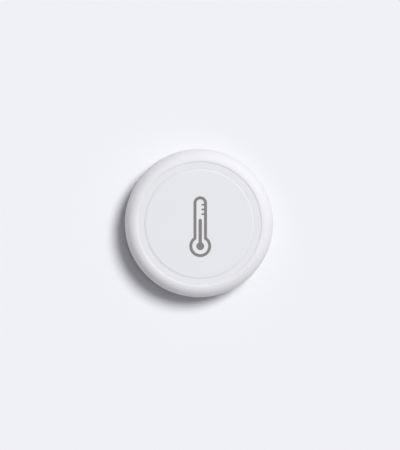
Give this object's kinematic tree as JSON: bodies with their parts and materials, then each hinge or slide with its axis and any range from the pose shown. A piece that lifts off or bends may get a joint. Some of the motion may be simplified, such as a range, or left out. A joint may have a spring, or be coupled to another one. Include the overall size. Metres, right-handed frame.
{
  "type": "temperature humidity sensor",
  "caption": "Flat round white wall sensor for room temperature and humidity, with a rounded rim, a recessed light ring, a press-in face and a twist-off adhesive base.",
  "frame": {"origin": "centre of the adhesive pad's underside, where the sensor meets the wall", "axes": "+Z out of the wall through the face, +Y to the top of the face, +X to the right of the face"},
  "size_m": [0.036, 0.036, 0.009],
  "materials": {
    "abs_shell": "satin white moulded ABS",
    "abs_face": "fine matt white moulded ABS",
    "opal_polycarbonate": "opal polycarbonate light guide",
    "abs_base": "matt white moulded ABS",
    "abs_chassis": "dark grey moulded ABS",
    "acrylic_foam": "grey acrylic foam tape",
    "zinc_steel": "zinc-plated steel",
    "nickel_steel": "nickel-plated steel",
    "spring_steel": "nickel-plated spring steel",
    "polypropylene_seal": "dark polypropylene",
    "fibreglass_board": "green solder mask on fibreglass",
    "gold_copper": "gold-flashed copper",
    "moulded_epoxy": "black moulded epoxy",
    "clear_epoxy": "clear epoxy over phosphor",
    "ceramic_chip": "fired ceramic"
  },
  "bodies": {
    "wall_base": {"adhesive_pad": "acrylic_foam", "base_plate": "abs_base"},
    "housing": {"front_shell": "abs_shell", "light_ring": "opal_polycarbonate", "chassis": "abs_chassis", "chassis_screws": "zinc_steel", "coin_cell_can": "nickel_steel", "coin_cell_seal": "polypropylene_seal", "coin_cell_cap": "nickel_steel", "positive_contacts": "spring_steel", "negative_contact": "spring_steel", "circuit_board": "fibreglass_board", "antenna": "gold_copper", "radio_chip": "moulded_epoxy", "crystal": "nickel_steel", "climate_sensor": "moulded_epoxy", "status_leds": "clear_epoxy", "capacitors": "ceramic_chip", "resistors": "ceramic_chip", "test_pads": "gold_copper", "switch_base": "moulded_epoxy", "switch_terminals": "spring_steel", "switch_dome": "spring_steel", "switch_cover": "nickel_steel"},
    "button": {"face_button": "abs_face", "switch_plunger": "moulded_epoxy"}
  },
  "joints": [
    {"name": "housing_twist", "type": "hinge", "parent": "wall_base", "child": "housing", "pos_m": [0, 0, 0], "axis": [0, 0, 1], "range_deg": [0, 22]},
    {"name": "button_press", "type": "slide", "parent": "housing", "child": "button", "axis": [0, 0, -1], "range_m": [0, 0.00025], "stiffness_N_per_m": 2000, "springref_m": -0.0004, "deforming": ["switch_dome"]}
  ]
}
